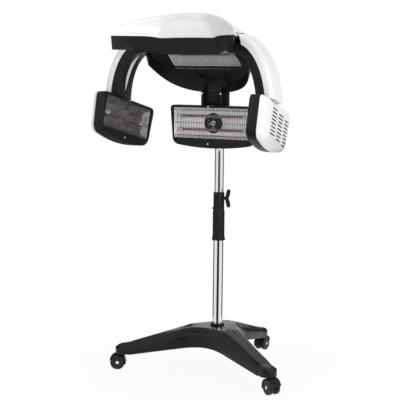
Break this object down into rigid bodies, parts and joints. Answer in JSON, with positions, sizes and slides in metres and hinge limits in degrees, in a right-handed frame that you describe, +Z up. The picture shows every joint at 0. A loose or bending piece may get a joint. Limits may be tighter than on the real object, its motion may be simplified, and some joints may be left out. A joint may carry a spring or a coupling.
{
  "type": "hair color processor",
  "caption": "Salon hair colour processor on a caster stand: telescopic pole, tilting hooded head with crown and rear heater panels and swinging side heater panels.",
  "frame": {"origin": "floor level, under the middle of the bounding box", "axes": "+Z up, -Y towards the seated user, +X to the right seen from the front"},
  "size_m": [0.7778, 0.803, 1.4137],
  "materials": {
    "black_plastic": "satin",
    "white_plastic": "gloss",
    "chrome": "polished",
    "steel": "satin",
    "reflector": "polished",
    "ceramic": "matte",
    "quartz": "clear",
    "heating_wire": "matte",
    "wheel_plastic": "satin"
  },
  "bodies": {
    "stand": {"base_shell": "black_plastic", "toe_cap_rear": "black_plastic", "toe_cap_left": "black_plastic", "toe_cap_right": "black_plastic", "pole_foot_ring": "black_plastic", "lower_tube": "chrome", "grip_sleeve": "black_plastic", "clamp_sleeve": "black_plastic"},
    "knob": {"clamp_knob": "black_plastic"},
    "column": {"upper_tube": "chrome", "tilt_bracket": "black_plastic", "tilt_pin": "steel"},
    "head": {"neck": "black_plastic", "canopy_shell": "black_plastic", "hood_cover": "white_plastic", "crown_guard": "steel", "crown_reflector": "reflector", "crown_tube": "quartz", "crown_coil": "heating_wire", "crown_block_left": "ceramic", "crown_block_right": "ceramic", "rear_housing": "black_plastic", "rear_guard": "steel", "rear_reflector": "reflector", "rear_tube_upper": "quartz", "rear_tube_lower": "quartz", "rear_coil_upper": "heating_wire", "rear_coil_lower": "heating_wire", "rear_block_left": "ceramic", "rear_block_right": "ceramic", "fan_grille": "black_plastic", "rear_cover": "white_plastic", "arm_pin_left": "steel", "arm_pin_right": "steel"},
    "fan": {"fan_rotor": "black_plastic"},
    "swivel_rear": {"caster_fork_rear": "black_plastic"},
    "wheel_rear": {"caster_wheel_rear": "wheel_plastic"},
    "swivel_left": {"caster_fork_left": "black_plastic"},
    "wheel_left": {"caster_wheel_left": "wheel_plastic"},
    "swivel_right": {"caster_fork_right": "black_plastic"},
    "wheel_right": {"caster_wheel_right": "wheel_plastic"},
    "arm_left": {"arm_frame_left": "black_plastic", "arm_cover_left": "white_plastic", "panel_housing_left": "black_plastic", "panel_guard_left": "steel", "panel_reflector_left": "reflector", "panel_tube_left": "quartz", "panel_block_front_left": "ceramic", "panel_block_rear_left": "ceramic", "panel_cover_left": "white_plastic"},
    "arm_right": {"arm_frame_right": "black_plastic", "arm_cover_right": "white_plastic", "panel_housing_right": "black_plastic", "panel_guard_right": "steel", "panel_reflector_right": "reflector", "panel_tube_right": "quartz", "panel_block_front_right": "ceramic", "panel_block_rear_right": "ceramic", "panel_cover_right": "white_plastic"}
  },
  "joints": [
    {"name": "caster_swivel_rear", "type": "hinge", "parent": "stand", "child": "swivel_rear", "pos_m": [0, 0.34747, 0.06], "axis": [0, 0, 1], "continuous": true},
    {"name": "wheel_roll_rear", "type": "hinge", "parent": "swivel_rear", "child": "wheel_rear", "pos_m": [0, 0.36947, 0.029], "axis": [-1, 0, 0], "continuous": true},
    {"name": "caster_swivel_left", "type": "hinge", "parent": "stand", "child": "swivel_left", "pos_m": [-0.32563, -0.21653, 0.06], "axis": [0, 0, 1], "continuous": true},
    {"name": "wheel_roll_left", "type": "hinge", "parent": "swivel_left", "child": "wheel_left", "pos_m": [-0.34468, -0.22753, 0.029], "axis": [0.5, -0.866, 0], "continuous": true},
    {"name": "caster_swivel_right", "type": "hinge", "parent": "stand", "child": "swivel_right", "pos_m": [0.32563, -0.21653, 0.06], "axis": [0, 0, 1], "continuous": true},
    {"name": "wheel_roll_right", "type": "hinge", "parent": "swivel_right", "child": "wheel_right", "pos_m": [0.34468, -0.22753, 0.029], "axis": [0.5, 0.866, 0], "continuous": true},
    {"name": "height_slide", "type": "slide", "parent": "stand", "child": "column", "axis": [0, 0, 1], "range_m": [-0.15, 0.15]},
    {"name": "clamp_knob_turn", "type": "hinge", "parent": "stand", "child": "knob", "pos_m": [0.03, -0.02853, 0.694], "axis": [1, 0, 0], "range_deg": [-180, 180]},
    {"name": "head_tilt", "type": "hinge", "parent": "column", "child": "head", "pos_m": [0, -0.02853, 1.1], "axis": [-1, 0, 0], "range_deg": [0, 25]},
    {"name": "fan_spin", "type": "hinge", "parent": "head", "child": "fan", "pos_m": [0, -0.06997, 0.9895], "axis": [0, 1, 0], "continuous": true},
    {"name": "arm_swing_left", "type": "hinge", "parent": "head", "child": "arm_left", "pos_m": [-0.198, -0.25353, 1.29], "axis": [0, 1, 0], "range_deg": [-4, 12]},
    {"name": "arm_swing_right", "type": "hinge", "parent": "head", "child": "arm_right", "pos_m": [0.198, -0.25353, 1.29], "axis": [0, -1, 0], "range_deg": [-4, 12]}
  ]
}
